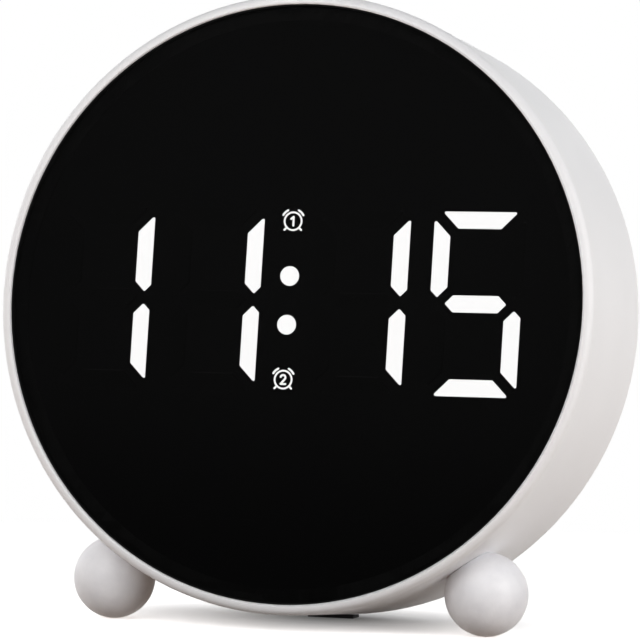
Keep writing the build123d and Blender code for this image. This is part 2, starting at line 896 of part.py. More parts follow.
def speaker_frame():
    basket = speaker_basket_radius
    profile = [
        (0, basket_front),
        (basket, basket_front),
        (speaker_radius - 2, speaker_seat),
        (speaker_radius, speaker_seat),
        (speaker_radius, speaker_back),
        (speaker_radius - 3, speaker_back),
        (speaker_radius - 3, speaker_seat + 0.2),
        (basket - 0.4, basket_front + 0.8),
        (0, basket_front + 0.8),
    ]
    return turned(profile, 0, speaker_z)


def speaker_cone():
    rim = speaker_radius - 3.3
    profile = [
        (0, basket_front + 2.0),
        (4.6, basket_front + 2.0),
        (rim, speaker_seat + 0.3),
        (rim, speaker_back - 0.2),
        (5.2, basket_front + 2.8),
        (4.2, basket_front + 2.6),
        (2.2, basket_front + 3.3),
        (0, basket_front + 3.6),
    ]
    return turned(profile, 0, speaker_z)


def speaker_magnet():
    magnet = disc(speaker_magnet_radius, basket_front - speaker_magnet_depth, basket_front, 0, speaker_z)
    return chamfer(magnet.edges().group_by(Axis.Y)[0], 0.5)


def speaker_screws():
    length = clamp_boss_depth + 1.3
    return group([screw_from_front(screw_small, length, x, speaker_seat, z) for x, z in speaker_clamps])


# Battery bay contents
def battery_door():
    half = recess_half_width - door_gap
    top = recess_top - door_gap
    door = block(-half, half, door_front, cover_back, hinge_z, top)
    hinge_line = Pos(0, hinge_y, hinge_z) * Rot(0, 90, 0)
    door += hinge_line * Cylinder(hinge_radius, 2 * half)
    door += hinge_line * Cylinder(hinge_pin_radius, 2 * (half + door_gap + hinge_pin_length))
    # finger scoop with grip ribs at the free edge
    door -= disc(6, cover_back - 0.9, cover_back + 1, 0, top)
    for i in range(cell_count - 1):
        valley = (cell_places[i] + cell_places[i + 1]) / 2
        rib_length = 2 * half - 4 * door_rib_depth
        door += block_at(0, door_front - door_rib_depth, door_front, valley, rib_length, door_rib)
    for i in range(3):
        door += block_at(0, cover_back - 1.2, cover_back - 0.4, top - 1.2 - 1.5 * i, 7.0 - 1.2 * i, 0.6)
    return door


def backup_cells():
    cells = []
    for z, turn in zip(cell_places, cell_turns):
        nub_end = turn * (bay_half_width - contact_thickness - 0.1)
        body_end = nub_end - turn * cell_nub_length
        far_end = nub_end - turn * cell_length
        middle = (body_end + far_end) / 2
        can = Pos(middle, cell_y, z) * Rot(0, 90, 0) * Cylinder(cell_radius, cell_length - cell_nub_length)
        can = fillet(can.edges().filter_by(GeomType.CIRCLE), 0.4)
        nub = Pos(body_end, cell_y, z) * Rot(0, 90, 0) * Cylinder(cell_nub_radius, 2 * cell_nub_length)
        cells.append(can + nub)
    return group(cells)


def battery_springs():
    springs = []
    for z, turn in zip(cell_places, cell_turns):
        plate = -turn * (bay_half_width - contact_thickness - 0.1)
        middle = plate + turn * spring_length / 2
        cone = Cone(spring_plate_radius, spring_cell_radius, spring_length)
        cone -= Cone(spring_plate_radius - spring_wire, spring_cell_radius - spring_wire, spring_length)
        springs.append(Pos(middle, cell_y, z) * Rot(0, turn * 90, 0) * cone)
    return group(springs)


def battery_contacts():
    plates = []
    for side in (-1, 1):
        outer = side * (bay_half_width - 0.1)
        inner = side * (bay_half_width - 0.1 - contact_thickness)
        x0, x1 = min(outer, inner), max(outer, inner)
        for i, z in enumerate(cell_places):
            half = contact_width / 2
            plate = block(x0, x1, cell_y - half, cell_y + half, z - half, z + half)
            if i == cell_count - 1:
                plate += block(x0, x1, wire_y - wire_radius, cell_y, z, tail_z)
            plates.append(plate)
    return group(plates)


# Snooze bar
def snooze_button():
    crown = disc(drum_radius + snooze_proud, 0, drum_depth)
    top = pill(snooze_length, snooze_width, inner_radius - 8, drum_radius + snooze_proud + 1) & crown
    top = fillet(top.edges().group_by(Axis.Z)[-1], 0.5)
    flange_outer = inner_radius - cover_gap
    flange_inner = flange_outer - snooze_flange_depth
    top -= disc(flange_inner, -1, drum_depth + 1)
    rim = 2 * snooze_flange
    flange = pill(snooze_length + rim, snooze_width + rim, inner_radius - 8, drum_radius)
    flange = (flange & disc(flange_outer, 0, drum_depth)) - disc(flange_inner, -1, drum_depth + 1)
    nub_bottom = flange_inner - snooze_nub_depth
    nub_top = flange_inner + snooze_flange_depth / 2
    nub = Pos(0, snooze_y, (nub_bottom + nub_top) / 2) * Cylinder(button_nub_radius, nub_top - nub_bottom)
    return top + flange + nub


def snooze_board():
    half = snooze_post_x + snooze_post_radius
    board = Pos(0, snooze_y, (snooze_board_top + snooze_board_bottom) / 2) * Box(
        2 * half, snooze_board_width, board_thickness
    )
    for side in (-1, 1):
        board -= Pos(side * snooze_post_x, snooze_y, snooze_board_top) * Cylinder(
            screw_small + hole_clearance, 4 * board_thickness
        )
    return board


def snooze_board_screws():
    upturned = Rot(180, 0, 0) * screw(screw_small, board_thickness + snooze_screw_bite)
    return group([Pos(side * snooze_post_x, snooze_y, snooze_board_bottom) * upturned for side in (-1, 1)])


# Feet
lever = drum_depth - ball_setback
ball_reach = drum_radius + ball_radius - ball_sink
drop = drum_radius - ball_reach * cos(radians(ball_angle))
rise = ball_radius - pad_thickness
lean = asin(rise / hypot(lever, drop)) - atan2(drop, lever)
face_height = ball_radius + ball_setback * sin(lean) + ball_reach * cos(radians(ball_angle)) * cos(lean)
front_reach = lip_outer_round * cos(lean) - (drum_radius - lip_outer_round) * sin(lean) - lip_outer_round
rear_depth = drum_depth - rear_edge_round
rear_reach = rear_depth * cos(lean) + (drum_radius - rear_edge_round) * sin(lean) + rear_edge_round
middle_y = (front_reach + rear_reach) / 2
standing = Pos(0, -middle_y, face_height) * Rot(-degrees(lean), 0, 0)


def ball_foot(side):
    ball = Pos(0, 0, ball_reach) * Sphere(ball_radius)
    ball -= Rot(90, 0, 0) * Cylinder(drum_radius + seat_gap, 4 * ball_radius)
    pilot_top = inner_radius - foot_boss_height + foot_screw_length + 1
    ball -= Pos(0, 0, pilot_top / 2) * Cylinder(screw_medium + pilot_clearance, pilot_top)
    return foot_frame(side) * ball


def foot_screws():
    screws = []
    for side in (-1, 1):
        seat = Pos(0, 0, inner_radius - foot_boss_height)
        screws.append(foot_frame(side) * seat * Rot(180, 0, 0) * screw(screw_medium, foot_screw_length))
    return group(screws)


def rear_foot_pad():
    """A rubber wedge under the drum's rear edge, flat on the table."""
    back = drum_depth - pad_inset
    pad = Pos(0, back - pad_width / 2, -drum_radius) * Box(pad_length, pad_width, 8)
    pad -= disc(drum_radius + seat_gap, -1, drum_depth + 1)
    pad = standing * pad
    return pad & Pos(0, 0, drum_radius) * Box(4 * drum_radius, 4 * drum_radius, 2 * drum_radius)


# Wiring
def wiring():
    wires = []
    over_board = control_board_back + wire_gap + wire_radius
    basket_edge = speaker_z - speaker_basket_radius - 3.6
    for side in (-1, 1):
        x = side * wire_spread
        wires.append(tube([(x, over_board, basket_edge), (x, over_board, button_z + 5)], wire_radius))
        z = button_z + side * wire_spread
        board_end = -control_post_x - control_post_radius - wire_radius
        wires.append(tube([(1 - light_middle, over_board, z), (board_end, over_board, z)], wire_radius))
        x = side * (bay_half_width - contact_thickness)
        wires.append(tube([(x, wire_y, tail_z + wire_gap), (x, wire_y, button_z - 2)], wire_radius))
        x = side * wire_spread
        top_z = snooze_board_bottom - wire_gap
        wires.append(
            tube(
                [
                    (x - 10, snooze_y, top_z),
                    (x - 10, snooze_y, top_z - 9),
                    (x - 24, snooze_y + 2, top_z - 24),
                    (x - 24, snooze_y + 4, button_z + 20),
                    (x - 24, snooze_y + 7, button_z + 1),
                    (x - 24, wire_y + wire_radius, button_z + 1),
                ],
                wire_radius,
            )
        )
    return group(wires)


pieces = {
    "housing": housing,
    "front_lens": front_lens,
    "lens_gasket": lens_gasket,
    "display_mask": display_mask,
    "lit_segments": lambda: segments(lit),
    "unlit_segments": lambda: segments(unlit),
    "colon_dots": colon_dots,
    "alarm_one_icon": lambda: alarm_sign(1),
    "alarm_two_icon": lambda: alarm_sign(2),
    "light_baffle": light_baffle,
    "display_board": display_board,
    "display_leds": display_leds,
    "display_driver": display_driver,
    "display_screws": display_screws,
    "ribbon_headers": ribbon_headers,
    "ribbon_cable": ribbon_cable,
    "control_board": control_board,
    "controller_chip": controller_chip,
    "board_capacitors": board_capacitors,
    "control_board_screws": control_board_screws,
    "button_switches": button_switches,
    "usb_socket": usb_socket,
    "usb_tongue": usb_tongue,
    "rear_cover": rear_cover,
    "rear_cover_screws": rear_cover_screws,
    "night_light_diffuser": night_light_diffuser,
    "night_light_board": night_light_board,
    "night_light_leds": night_light_leds,
    "speaker_frame": speaker_frame,
    "speaker_cone": speaker_cone,
    "speaker_magnet": speaker_magnet,
    "speaker_screws": speaker_screws,
    "battery_door": battery_door,
    "backup_cells": backup_cells,
    "battery_springs": battery_springs,
    "battery_contacts": battery_contacts,
    "snooze_button": snooze_button,
    "snooze_board": snooze_board,
    "snooze_board_screws": snooze_board_screws,
    "snooze_switch": lambda: Pos(0, snooze_y, snooze_board_top) * switch_body(),
    "snooze_plunger": lambda: Pos(0, snooze_y, snooze_board_top) * plunger(),
    "ball_foot_left": lambda: ball_foot(-1),
    "ball_foot_right": lambda: ball_foot(1),
    "foot_screws": foot_screws,
    "internal_wiring": wiring,
}
for number, label in enumerate(button_names):
    pieces[label + "_button"] = lambda number=number: rear_button(number)
    pieces[label + "_plunger"] = lambda number=number: on_control_board(plunger(), button_x(number))

for node, make in pieces.items():
    export_step(standing * make(), "parts/" + node + ".step")
export_step(rear_foot_pad(), "parts/rear_foot_pad.step")

print("lean", round(degrees(lean), 3), "face height", round(face_height, 3), "forward", round(middle_y, 3))
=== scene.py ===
import json
import math
import bmesh
import bpy
from mathutils import Matrix, Vector


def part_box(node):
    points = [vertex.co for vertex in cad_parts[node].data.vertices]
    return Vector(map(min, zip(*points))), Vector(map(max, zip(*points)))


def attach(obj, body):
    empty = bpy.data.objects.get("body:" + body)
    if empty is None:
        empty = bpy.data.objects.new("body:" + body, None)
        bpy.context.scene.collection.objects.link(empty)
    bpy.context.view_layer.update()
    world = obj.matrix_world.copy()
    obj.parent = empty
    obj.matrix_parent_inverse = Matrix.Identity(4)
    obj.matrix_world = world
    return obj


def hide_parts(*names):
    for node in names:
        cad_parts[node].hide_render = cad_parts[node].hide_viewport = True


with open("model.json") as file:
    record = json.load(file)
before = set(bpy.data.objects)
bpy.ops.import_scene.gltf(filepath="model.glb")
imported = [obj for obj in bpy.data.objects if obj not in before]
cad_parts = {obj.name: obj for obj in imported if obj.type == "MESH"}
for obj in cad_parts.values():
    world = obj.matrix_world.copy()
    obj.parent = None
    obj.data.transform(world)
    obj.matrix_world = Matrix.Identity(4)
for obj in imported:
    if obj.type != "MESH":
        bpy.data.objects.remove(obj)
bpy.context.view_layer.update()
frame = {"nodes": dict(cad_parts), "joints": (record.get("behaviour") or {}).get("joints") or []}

nodes = frame["nodes"]
press = next(joint["axis"] for joint in frame["joints"] if joint["name"] == "up_press")
rightward = Vector((1, 0, 0))
backward = -Vector(press)  # along the leaning drum's axis, out of the rear cover
upward = rightward.cross(backward)  # up the leaning face
mm = 0.001
print("frame loaded:", len(nodes), "nodes")


# Camera, placed in metres and turned in degrees

camera = {
    "location": (0.272481, -0.832055, 0.085014),
    "turn": (89.3252, -1.0808, 18.1449),
    "lens": 199.44,
    "near": 0.01,
    "far": 100,
}

view = bpy.data.cameras.new("studioCamera")
view.lens = camera["lens"]
view.clip_start, view.clip_end = camera["near"], camera["far"]
viewObject = bpy.data.objects.new("studioCamera", view)
viewObject.location = camera["location"]
viewObject.rotation_euler = [math.radians(angle) for angle in camera["turn"]]
bpy.context.scene.collection.objects.link(viewObject)
bpy.context.scene.camera = viewObject
bpy.context.scene.view_settings.view_transform = "Standard"
print("camera placed")


# Finishes

def linear(hexColour):
    channels = [int(hexColour[i:i + 2], 16) / 255 for i in (1, 3, 5)]
    return [c / 12.92 if c <= 0.04045 else ((c + 0.055) / 1.055) ** 2.4 for c in channels] + [1.0]


def addNode(tree, kind, settings=None, **inputs):
    # i0, i1 and so on are sockets by number, any other input is a socket by name, with _ for a space
    node = tree.nodes.new(kind)
    for name, value in (settings or {}).items():
        setattr(node, name, value)
    for name, value in inputs.items():
        numbered = name[0] == "i" and name[1:].isdigit()
        socket = node.inputs[int(name[1:]) if numbered else name.replace("_", " ")]
        if isinstance(value, bpy.types.NodeSocket):
            tree.links.new(value, socket)
        else:
            socket.default_value = value
    return node


def startMaterial(name):
    material = bpy.data.materials.new(name)
    material.use_nodes = True
    tree = material.node_tree
    return material, tree, tree.nodes["Principled BSDF"]


def millimetres(size):
    return 1 / (size * mm)  # a noise or wave scale for a feature of that size, on coordinates in metres


# what all finishes share: a wave repeats every 0.314 of its own unit, and relief is a share of the grain
shared = {
    "driftDetail": 3.0,
    "driftFrom": 0.3,
    "driftTo": 0.7,
    "grainDetail": 2.0,
    "reliefDepth": 0.25,
    "trackScatter": 0.45,
    "waveRepeat": 0.314,
    "endFacing": 0.9,
    "coatRough": 0.12,
    "softReach": (4.0 * mm, 4.0 * mm, 3.5 * mm),
}


def finish(name, look):
    # one finish: colour that drifts a little over the surface, and a relief of the maker's own texture
    material, tree, shader = startMaterial(name)
    place = addNode(tree, "ShaderNodeTexCoord").outputs["Object"]
    drift = addNode(tree, "ShaderNodeTexNoise", Vector=place, Scale=millimetres(look["driftSize"]),
                    Detail=shared["driftDetail"])
    ramp = addNode(tree, "ShaderNodeValToRGB", Fac=drift.outputs["Fac"])
    low, high = ramp.color_ramp.elements
    low.position, low.color = shared["driftFrom"], linear(look["darker"])
    high.position, high.color = shared["driftTo"], linear(look["colour"])
    colour = ramp.outputs["Color"]
    if "tracks" in look:
        # copper tracks that show as paler lines under the board's lacquer
        tracks = look["tracks"]
        cells = addNode(tree, "ShaderNodeTexVoronoi", {"feature": "DISTANCE_TO_EDGE"}, Vector=place,
                        Scale=millimetres(tracks["pitch"]), Randomness=shared["trackScatter"])
        track = addNode(tree, "ShaderNodeMath", {"operation": "LESS_THAN"},
                        i0=cells.outputs["Distance"], i1=tracks["width"] / tracks["pitch"] / 2)
        colour = addNode(tree, "ShaderNodeMix", {"data_type": "RGBA"},
                         i0=track.outputs[0], i6=colour, i7=linear(tracks["colour"])).outputs[2]
    if "wires" in look:
        # the wires side by side in a flat cable
        wires = look["wires"]
        waves = addNode(tree, "ShaderNodeTexWave", {"bands_direction": "X"}, Vector=place,
                        Scale=shared["waveRepeat"] * millimetres(wires["pitch"]))
        colour = addNode(tree, "ShaderNodeMix", {"data_type": "RGBA"},
                         i0=waves.outputs["Fac"], i6=linear(wires["colour"]), i7=colour).outputs[2]
    if "endFace" in look:
        # the bare metal end that a printed sleeve leaves open
        normal = addNode(tree, "ShaderNodeNewGeometry").outputs["Normal"]
        facing = addNode(tree, "ShaderNodeVectorMath", {"operation": "DOT_PRODUCT"}, i0=normal, i1=press)
        bare = addNode(tree, "ShaderNodeMath", {"operation": "GREATER_THAN"},
                       i0=facing.outputs["Value"], i1=shared["endFacing"]).outputs[0]
        colour = addNode(tree, "ShaderNodeMix", {"data_type": "RGBA"},
                         i0=bare, i6=colour, i7=linear(look["endFace"])).outputs[2]
        tree.links.new(bare, shader.inputs["Metallic"])
    tree.links.new(colour, shader.inputs["Base Color"])
    # a real grain is finer than the render can show, so each one is drawn coarse enough to show
    grain = addNode(tree, "ShaderNodeTexNoise", Vector=place, Scale=millimetres(look["grainSize"]),
                    Detail=shared["grainDetail"])
    rough = addNode(tree, "ShaderNodeMapRange", Value=grain.outputs["Fac"],
                    To_Min=look["rough"] - look["roughDrift"], To_Max=look["rough"] + look["roughDrift"])
    tree.links.new(rough.outputs["Result"], shader.inputs["Roughness"])
    relief = addNode(tree, "ShaderNodeBump", Height=grain.outputs["Fac"], Strength=look["relief"],
                     Distance=look["grainSize"] * mm * shared["reliefDepth"])
    tree.links.new(relief.outputs["Normal"], shader.inputs["Normal"])
    if "metal" in look:
        shader.inputs["Metallic"].default_value = look["metal"]
    if "ior" in look:
        shader.inputs["IOR"].default_value = look["ior"]
    if "gloss" in look:
        shader.inputs["Specular IOR Level"].default_value = look["gloss"]
    if "coat" in look:
        shader.inputs["Coat Weight"].default_value = look["coat"]
        shader.inputs["Coat Roughness"].default_value = shared["coatRough"]
    if "soft" in look:
        shader.inputs["Subsurface Weight"].default_value = look["soft"]
        shader.inputs["Subsurface Radius"].default_value = shared["softReach"]
    if "glow" in look:
        shader.inputs["Emission Color"].default_value = linear(look["glowColour"])
        shader.inputs["Emission Strength"].default_value = look["glow"]
    return material


# what each thing is made of, how its surface was made and what that gives the eye; sizes in millimetres
looks = {
    # ABS moulded in a finely spark-eroded tool: satin, no hard highlights
    "mouldedSatinAbs": {
        "colour": "#E9E9EB", "darker": "#E6E6E8", "driftSize": 30, "grainSize": 0.4,
        "rough": 0.45, "roughDrift": 0.05, "relief": 0.15, "ior": 1.54, "gloss": 0.35},
    # ABS balls sprayed with satin paint: faint soft mottling
    "sprayedSatinAbs": {
        "colour": "#F8F8FB", "darker": "#ECECF0", "driftSize": 5, "grainSize": 0.7,
        "rough": 0.5, "roughDrift": 0.08, "relief": 0.25, "ior": 1.5},
    # ABS moulded in a tool with a coarser grain: flat and even, as a rear cover is
    "mouldedGrainAbs": {
        "colour": "#EAEAEC", "darker": "#E5E5E7", "driftSize": 25, "grainSize": 0.5,
        "rough": 0.6, "roughDrift": 0.08, "relief": 0.45, "ior": 1.54},
    # clear film printed black: a dead black with next to no shine
    "printedBlackFilm": {
        "colour": "#040405", "darker": "#030303", "driftSize": 12, "grainSize": 0.3,
        "rough": 0.9, "roughDrift": 0.04, "relief": 0.05, "gloss": 0.05},
    # rubber gasket moulded in one piece: a dull dark line around the lens
    "blackGasketRubber": {
        "colour": "#070707", "darker": "#050505", "driftSize": 3, "grainSize": 0.3,
        "rough": 0.85, "roughDrift": 0.05, "relief": 0.1, "gloss": 0.1},
    # diffuser moulded in milky polycarbonate, with its LED on: an even white
    "litDiffuser": {
        "colour": "#F4F4F4", "darker": "#EFEFEF", "driftSize": 8, "grainSize": 0.5,
        "rough": 0.5, "roughDrift": 0.05, "relief": 0.1, "glow": 1.95, "glowColour": "#FFFFFF"},
    # a diffuser with its LED off, tinted to vanish behind the smoked lens
    "darkDiffuser": {
        "colour": "#030303", "darker": "#020202", "driftSize": 8, "grainSize": 0.5,
        "rough": 0.9, "roughDrift": 0.04, "relief": 0.05, "gloss": 0.04},
    # white ABS moulded as a reflector: pale and dull
    "mouldedReflector": {
        "colour": "#DADADA", "darker": "#D2D2D2", "driftSize": 15, "grainSize": 0.4,
        "rough": 0.6, "roughDrift": 0.05, "relief": 0.2},
    # glass and epoxy board under green lacquer: glossy, with its tracks showing through
    "greenSolderMask": {
        "colour": "#1E5A34", "darker": "#184A2B", "driftSize": 6, "grainSize": 0.3,
        "rough": 0.35, "roughDrift": 0.08, "relief": 0.2,
        "tracks": {"pitch": 4.0, "width": 0.4, "colour": "#2F7A48"}},
    # board under white lacquer, to send the LEDs' light back: pale, a little glossy
    "whiteSolderMask": {
        "colour": "#E0E0DA", "darker": "#D2D2CC", "driftSize": 5, "grainSize": 0.3,
        "rough": 0.4, "roughDrift": 0.08, "relief": 0.2},
    # phosphor cast in clear silicone: small smooth yellow windows
    "phosphorLed": {
        "colour": "#EBDD9A", "darker": "#D8C37A", "driftSize": 1, "grainSize": 0.2,
        "rough": 0.3, "roughDrift": 0.05, "relief": 0.1},
    # epoxy moulded around a chip: near black and dull
    "mouldedEpoxy": {
        "colour": "#1B1B1C", "darker": "#151516", "driftSize": 3, "grainSize": 0.2,
        "rough": 0.6, "roughDrift": 0.06, "relief": 0.3},
    # steel screws plated with zinc: bluish silver with soft reflections
    "zincPlatedSteel": {
        "colour": "#B9BBC0", "darker": "#A2A5AB", "driftSize": 1.2, "grainSize": 0.3,
        "rough": 0.32, "roughDrift": 0.08, "relief": 0.15, "metal": 1.0},
    # nylon, moulded and left its own colour: cream, slightly waxy
    "mouldedNylon": {
        "colour": "#D8CFA8", "darker": "#CDC296", "driftSize": 4, "grainSize": 0.3,
        "rough": 0.5, "roughDrift": 0.06, "relief": 0.2},
    # PVC drawn over a row of wires: grey with a fine line between each two
    "flatCablePvc": {
        "colour": "#B4B5B7", "darker": "#ABACAE", "driftSize": 3, "grainSize": 0.5,
        "rough": 0.45, "roughDrift": 0.05, "relief": 0.2,
        "wires": {"pitch": 1.0, "colour": "#7F8083"}},
    # drawn aluminium can in a shrunk sleeve: dark and glossy, with a bare end
    "sleevedCan": {
        "colour": "#23242C", "darker": "#1B1C24", "driftSize": 3, "grainSize": 0.4,
        "rough": 0.3, "roughDrift": 0.05, "relief": 0.1, "endFace": "#C4C6CA"},
    # moulded acetal: black with a slight waxy sheen
    "blackAcetal": {
        "colour": "#1E1E1F", "darker": "#171718", "driftSize": 3, "grainSize": 0.3,
        "rough": 0.42, "roughDrift": 0.06, "relief": 0.15},
    # grey ABS moulded with a fine grain: flat and even keys
    "greyMatAbs": {
        "colour": "#9A9CA1", "darker": "#93959A", "driftSize": 6, "grainSize": 0.35,
        "rough": 0.55, "roughDrift": 0.06, "relief": 0.3},
    # pressed steel plated with nickel: a warm and fairly bright silver
    "nickelShell": {
        "colour": "#C4C2BC", "darker": "#AFADA8", "driftSize": 2, "grainSize": 0.3,
        "rough": 0.25, "roughDrift": 0.08, "relief": 0.1, "metal": 1.0},
    # moulded opal polycarbonate: milky, light soaks a little way in
    "opalPolycarbonate": {
        "colour": "#F0F0EC", "darker": "#EAEAE6", "driftSize": 12, "grainSize": 0.35,
        "rough": 0.5, "roughDrift": 0.05, "relief": 0.15, "soft": 0.4, "ior": 1.58},
    # pressed steel sprayed black: dark with a dull sheen
    "blackSprayedSteel": {
        "colour": "#202021", "darker": "#181819", "driftSize": 3, "grainSize": 0.4,
        "rough": 0.4, "roughDrift": 0.06, "relief": 0.2},
    # cone pressed from paper pulp: fibrous charcoal without shine
    "pressedPaper": {
        "colour": "#262524", "darker": "#1B1A1A", "driftSize": 0.8, "grainSize": 0.4,
        "rough": 0.95, "roughDrift": 0.03, "relief": 0.7},
    # ferrite, sintered and ground: dark grey and stony
    "sinteredFerrite": {
        "colour": "#4A4A4C", "darker": "#3C3C3E", "driftSize": 1.5, "grainSize": 0.4,
        "rough": 0.55, "roughDrift": 0.1, "relief": 0.3},
    # printed film shrunk over each cell: smooth and glossy
    "cellFilm": {
        "colour": "#27333F", "darker": "#212C37", "driftSize": 12, "grainSize": 0.6,
        "rough": 0.25, "roughDrift": 0.05, "relief": 0.05, "coat": 0.3},
    # the pale print of the same film at the raised end
    "cellBand": {
        "colour": "#C9CDD1", "darker": "#BDC1C6", "driftSize": 10, "grainSize": 0.6,
        "rough": 0.25, "roughDrift": 0.05, "relief": 0.05, "coat": 0.3},
    # ink printed on that film: grey signs, a little duller than it
    "cellMarkInk": {
        "colour": "#7E8891", "darker": "#757F88", "driftSize": 4, "grainSize": 0.3,
        "rough": 0.4, "roughDrift": 0.05, "relief": 0.05},
    # card washer punched from sheet: off-white and dull
    "cellWasher": {
        "colour": "#D9D6CE", "darker": "#CBC8C0", "driftSize": 2, "grainSize": 0.3,
        "rough": 0.7, "roughDrift": 0.05, "relief": 0.2},
    # bright drawn spring wire: silver with a fine haze
    "drawnSpringWire": {
        "colour": "#C6C8CC", "darker": "#A9ACB2", "driftSize": 0.8, "grainSize": 0.25,
        "rough": 0.24, "roughDrift": 0.08, "relief": 0.1, "metal": 1.0},
    # copper plated with a flash of gold: thin bright yellow strips
    "goldFlash": {
        "colour": "#D9B45A", "darker": "#C9A34B", "driftSize": 0.8, "grainSize": 0.2,
        "rough": 0.25, "roughDrift": 0.06, "relief": 0.05, "metal": 1.0},
    # ink printed on the keys with a pad: dark and flat
    "printedSignInk": {
        "colour": "#2C2E33", "darker": "#25272B", "driftSize": 2, "grainSize": 0.25,
        "rough": 0.6, "roughDrift": 0.06, "relief": 0.1},
    # thin moulded rubber, as a cone's rolled edge is: black, a slight sheen
    "softRubberBlack": {
        "colour": "#161617", "darker": "#101011", "driftSize": 2, "grainSize": 0.3,
        "rough": 0.6, "roughDrift": 0.06, "relief": 0.2},
    # lacquered paper pressed to a dome: dark, smoother than the cone
    "pressedPaperCap": {
        "colour": "#303031", "darker": "#262627", "driftSize": 1.5, "grainSize": 0.3,
        "rough": 0.5, "roughDrift": 0.06, "relief": 0.2},
    # rubber pad moulded with a fine tooth: near black and dull
    "softRubber": {
        "colour": "#1D1D1E", "darker": "#161617", "driftSize": 3, "grainSize": 0.5,
        "rough": 0.8, "roughDrift": 0.06, "relief": 0.35},
    # PVC drawn over single wires: red with a soft sheen
    "wirePvc": {
        "colour": "#A8322C", "darker": "#962A25", "driftSize": 4, "grainSize": 0.4,
        "rough": 0.45, "roughDrift": 0.05, "relief": 0.1},
}
finishes = {name: finish(name, look) for name, look in looks.items()}

# cast acrylic, smoked and given an anti-glare hard coat: black until something shines behind it
acrylic = {"colour": "#030303", "alpha": 0.35, "ior": 1.49, "gloss": 0.02, "rough": 0.18, "roughDrift": 0.03,
           "hazeSize": 20}
smokedAcrylic, acrylicTree, acrylicShader = startMaterial("smokedAcrylic")
acrylicPlace = addNode(acrylicTree, "ShaderNodeTexCoord").outputs["Object"]
acrylicHaze = addNode(acrylicTree, "ShaderNodeTexNoise", Vector=acrylicPlace,
                      Scale=millimetres(acrylic["hazeSize"]), Detail=shared["grainDetail"])
acrylicRough = addNode(acrylicTree, "ShaderNodeMapRange", Value=acrylicHaze.outputs["Fac"],
                       To_Min=acrylic["rough"] - acrylic["roughDrift"],
                       To_Max=acrylic["rough"] + acrylic["roughDrift"])
acrylicTree.links.new(acrylicRough.outputs["Result"], acrylicShader.inputs["Roughness"])
acrylicShader.inputs["Base Color"].default_value = linear(acrylic["colour"])
acrylicShader.inputs["IOR"].default_value = acrylic["ior"]
acrylicShader.inputs["Specular IOR Level"].default_value = acrylic["gloss"]
acrylicShader.inputs["Alpha"].default_value = acrylic["alpha"]
finishes["smokedAcrylic"] = smokedAcrylic
print("finishes made:", len(finishes))

# which finish each part of the clock has
nodeFinish = {
    "mouldedSatinAbs": ["housing", "snooze_button"],
    "sprayedSatinAbs": ["ball_foot_left", "ball_foot_right"],
    "mouldedGrainAbs": ["rear_cover", "battery_door"],
    "smokedAcrylic": ["front_lens"],
    "blackGasketRubber": ["lens_gasket"],
    "printedBlackFilm": ["display_mask"],
    "litDiffuser": ["lit_segments", "colon_dots", "alarm_one_icon", "alarm_two_icon"],
    "darkDiffuser": ["unlit_segments"],
    "mouldedReflector": ["light_baffle"],
    "greenSolderMask": ["display_board", "control_board", "snooze_board"],
    "whiteSolderMask": ["night_light_board"],
    "phosphorLed": ["display_leds", "night_light_leds"],
    "mouldedEpoxy": ["display_driver", "controller_chip"],
    "zincPlatedSteel": ["display_screws", "control_board_screws", "rear_cover_screws", "speaker_screws",
                        "snooze_board_screws", "foot_screws"],
    "mouldedNylon": ["ribbon_headers"],
    "flatCablePvc": ["ribbon_cable"],
    "sleevedCan": ["board_capacitors"],
    "blackAcetal": ["button_switches", "snooze_switch", "usb_tongue", "snooze_plunger", "time_set_plunger",
                    "alarm_one_plunger", "alarm_two_plunger", "down_plunger", "up_plunger", "light_plunger"],
    "greyMatAbs": ["time_set_button", "alarm_one_button", "alarm_two_button", "down_button", "up_button",
                   "light_button"],
    "nickelShell": ["usb_socket", "battery_springs", "battery_contacts"],
    "opalPolycarbonate": ["night_light_diffuser"],
    "blackSprayedSteel": ["speaker_frame"],
    "pressedPaper": ["speaker_cone"],
    "sinteredFerrite": ["speaker_magnet"],
    "cellFilm": ["backup_cells"],
    "softRubber": ["rear_foot_pad"],
    "wirePvc": ["internal_wiring"],
}
for name, members in nodeFinish.items():
    for member in members:
        mesh = nodes[member].data
        mesh.materials.clear()
        mesh.materials.append(finishes[name])
left = sorted(set(nodes) - {member for members in nodeFinish.values() for member in members})
print("nodes finished:", len(nodes) - len(left), "left:", left)


# Pieces, all worked out from where the CAD nodes are, with their own sizes in millimetres

def seatOn(node, direction, flatness=0.02 * mm):
    # the middle of the face of a node that lies furthest in a direction
    points = [vertex.co for vertex in nodes[node].data.vertices]
    reach = max(point.dot(direction) for point in points)
    face = [point for point in points if point.dot(direction) > reach - flatness]
    return Vector([(min(point[i] for point in face) + max(point[i] for point in face)) / 2 for i in range(3)])


def span(node, direction):
    # how far a node reaches along a direction, from and to
    along = [vertex.co.dot(direction) for vertex in nodes[node].data.vertices]
    return min(along), max(along)


def axesAt(origin, across, along, out):
    return Matrix.Translation(origin) @ Matrix((across, along, out)).transposed().to_4x4()


def addPiece(name, mesh, body, slot, *finishNames, sharpFrom=40):
    # edges that turn by more degrees than sharpFrom stay crisp
    piece = bpy.data.objects.new(name, mesh)
    bpy.context.scene.collection.objects.link(piece)
    for finishName in finishNames:
        mesh.materials.append(finishes[finishName])
    mesh.shade_smooth()
    mesh.set_sharp_from_angle(angle=math.radians(sharpFrom))
    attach(piece, body)
    return piece


def endMesh(name, work):
    mesh = bpy.data.meshes.new(name)
    work.to_mesh(mesh)
    work.free()
    return mesh


